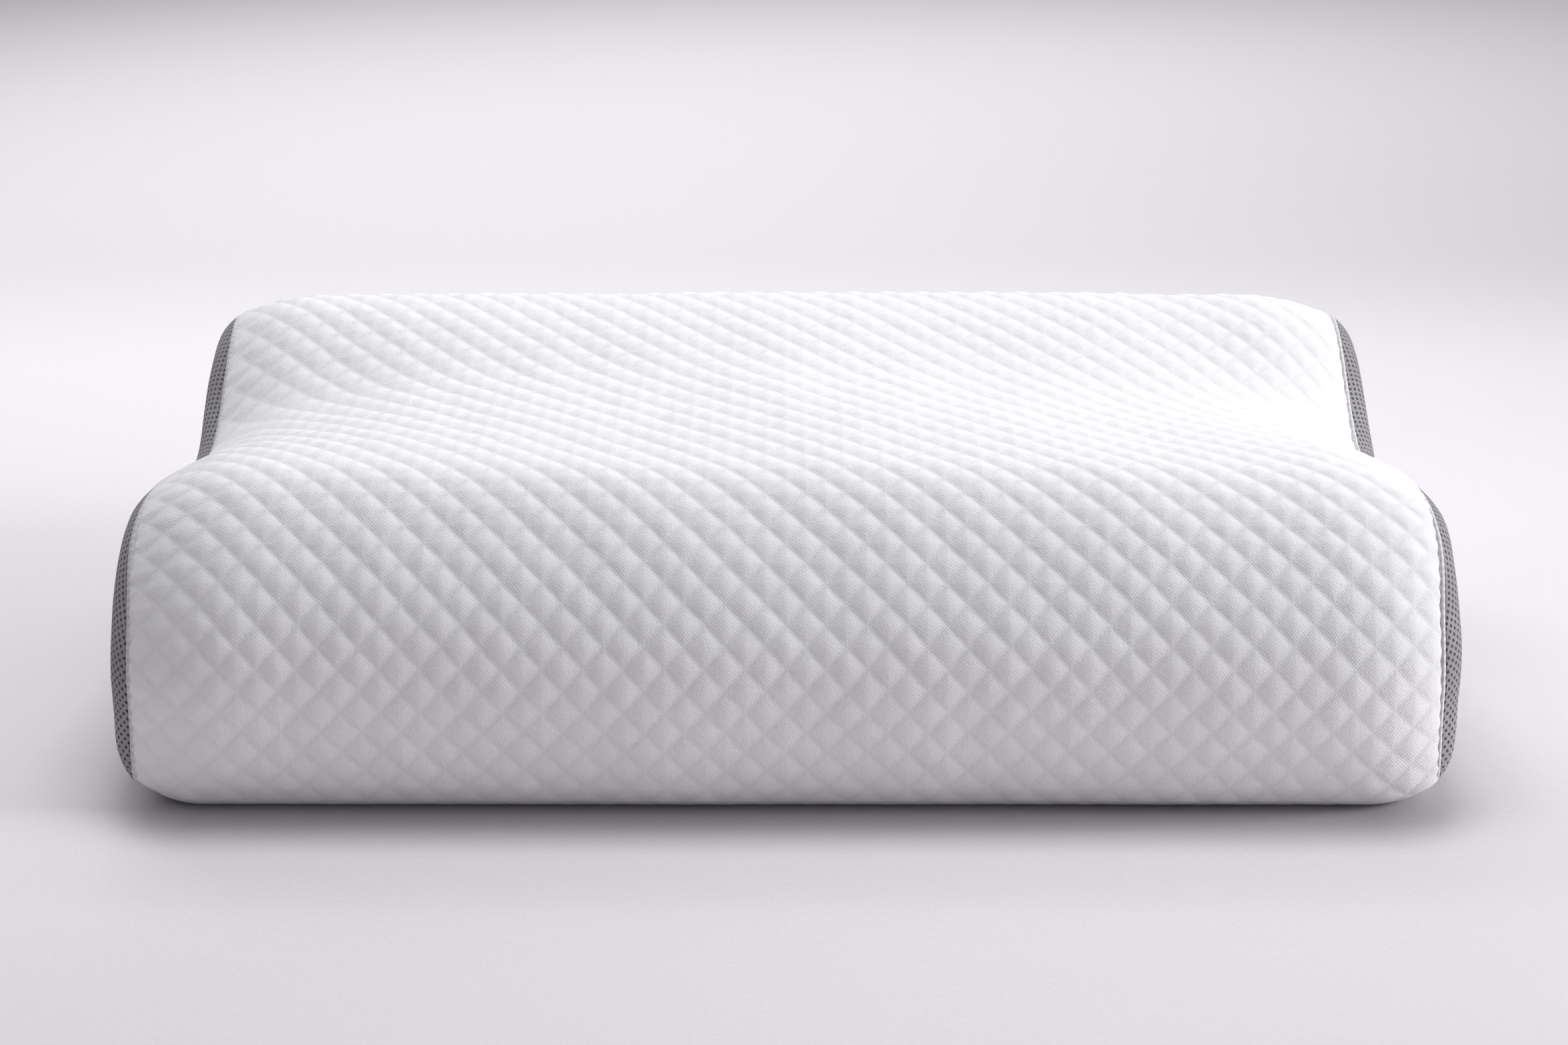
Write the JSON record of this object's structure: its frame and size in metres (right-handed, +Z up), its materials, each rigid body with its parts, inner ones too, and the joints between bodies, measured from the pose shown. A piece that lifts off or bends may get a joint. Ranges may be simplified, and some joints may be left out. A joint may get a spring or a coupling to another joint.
{
  "type": "bed pillow",
  "caption": "Contour bed pillow: wave-shaped foam core in a knit liner and a quilted cover with mesh ends, a folded seam at each end and a zip along the back.",
  "frame": {"origin": "on the floor under the middle of the bounding box", "axes": "+X along the pillow towards its right end, +Y towards the tall lobe and the zip, +Z up"},
  "size_m": [0.5, 0.3094, 0.131],
  "materials": {
    "quilted_knit": "matte air-layer knit, diamond quilted",
    "grey_mesh": "matte spacer mesh knit",
    "seam_fold": "matte folded knit",
    "memory_foam": "matte open-cell foam skin",
    "liner_knit": "matte plain knit",
    "zip_tape": "matte woven tape",
    "zip_coil": "satin nylon",
    "zip_metal": "satin nickel plate",
    "thread": "twisted thread",
    "label_satin": "satin ribbon, blank"
  },
  "bodies": {
    "pillow": {"cover_wrap": "quilted_knit", "left_gusset": "grey_mesh", "right_gusset": "grey_mesh", "left_seam_edge": "seam_fold", "right_seam_edge": "seam_fold", "foam_core": "memory_foam", "liner_sleeve": "liner_knit", "liner_left_end": "liner_knit", "liner_right_end": "liner_knit", "care_label": "label_satin", "upper_zip_tape": "zip_tape", "lower_zip_tape": "zip_tape", "upper_zip_coil": "zip_coil", "lower_zip_coil": "zip_coil", "upper_top_stop": "zip_metal", "lower_top_stop": "zip_metal", "bottom_stop": "zip_metal", "upper_zip_stitching": "thread", "lower_zip_stitching": "thread"},
    "zip_slider": {"slider_body": "zip_metal"},
    "zip_pull": {"pull_tab": "zip_metal"}
  },
  "joints": [
    {"name": "zip_slide", "type": "slide", "parent": "pillow", "child": "zip_slider", "axis": [-1, 0, 0], "range_m": [0, 0.372], "deforming": ["upper_zip_coil", "lower_zip_coil"]},
    {"name": "pull_swing", "type": "hinge", "parent": "zip_slider", "child": "zip_pull", "pos_m": [0.1844, 0.1526, 0.05], "axis": [0, 0, -1], "range_deg": [0, 170]}
  ]
}
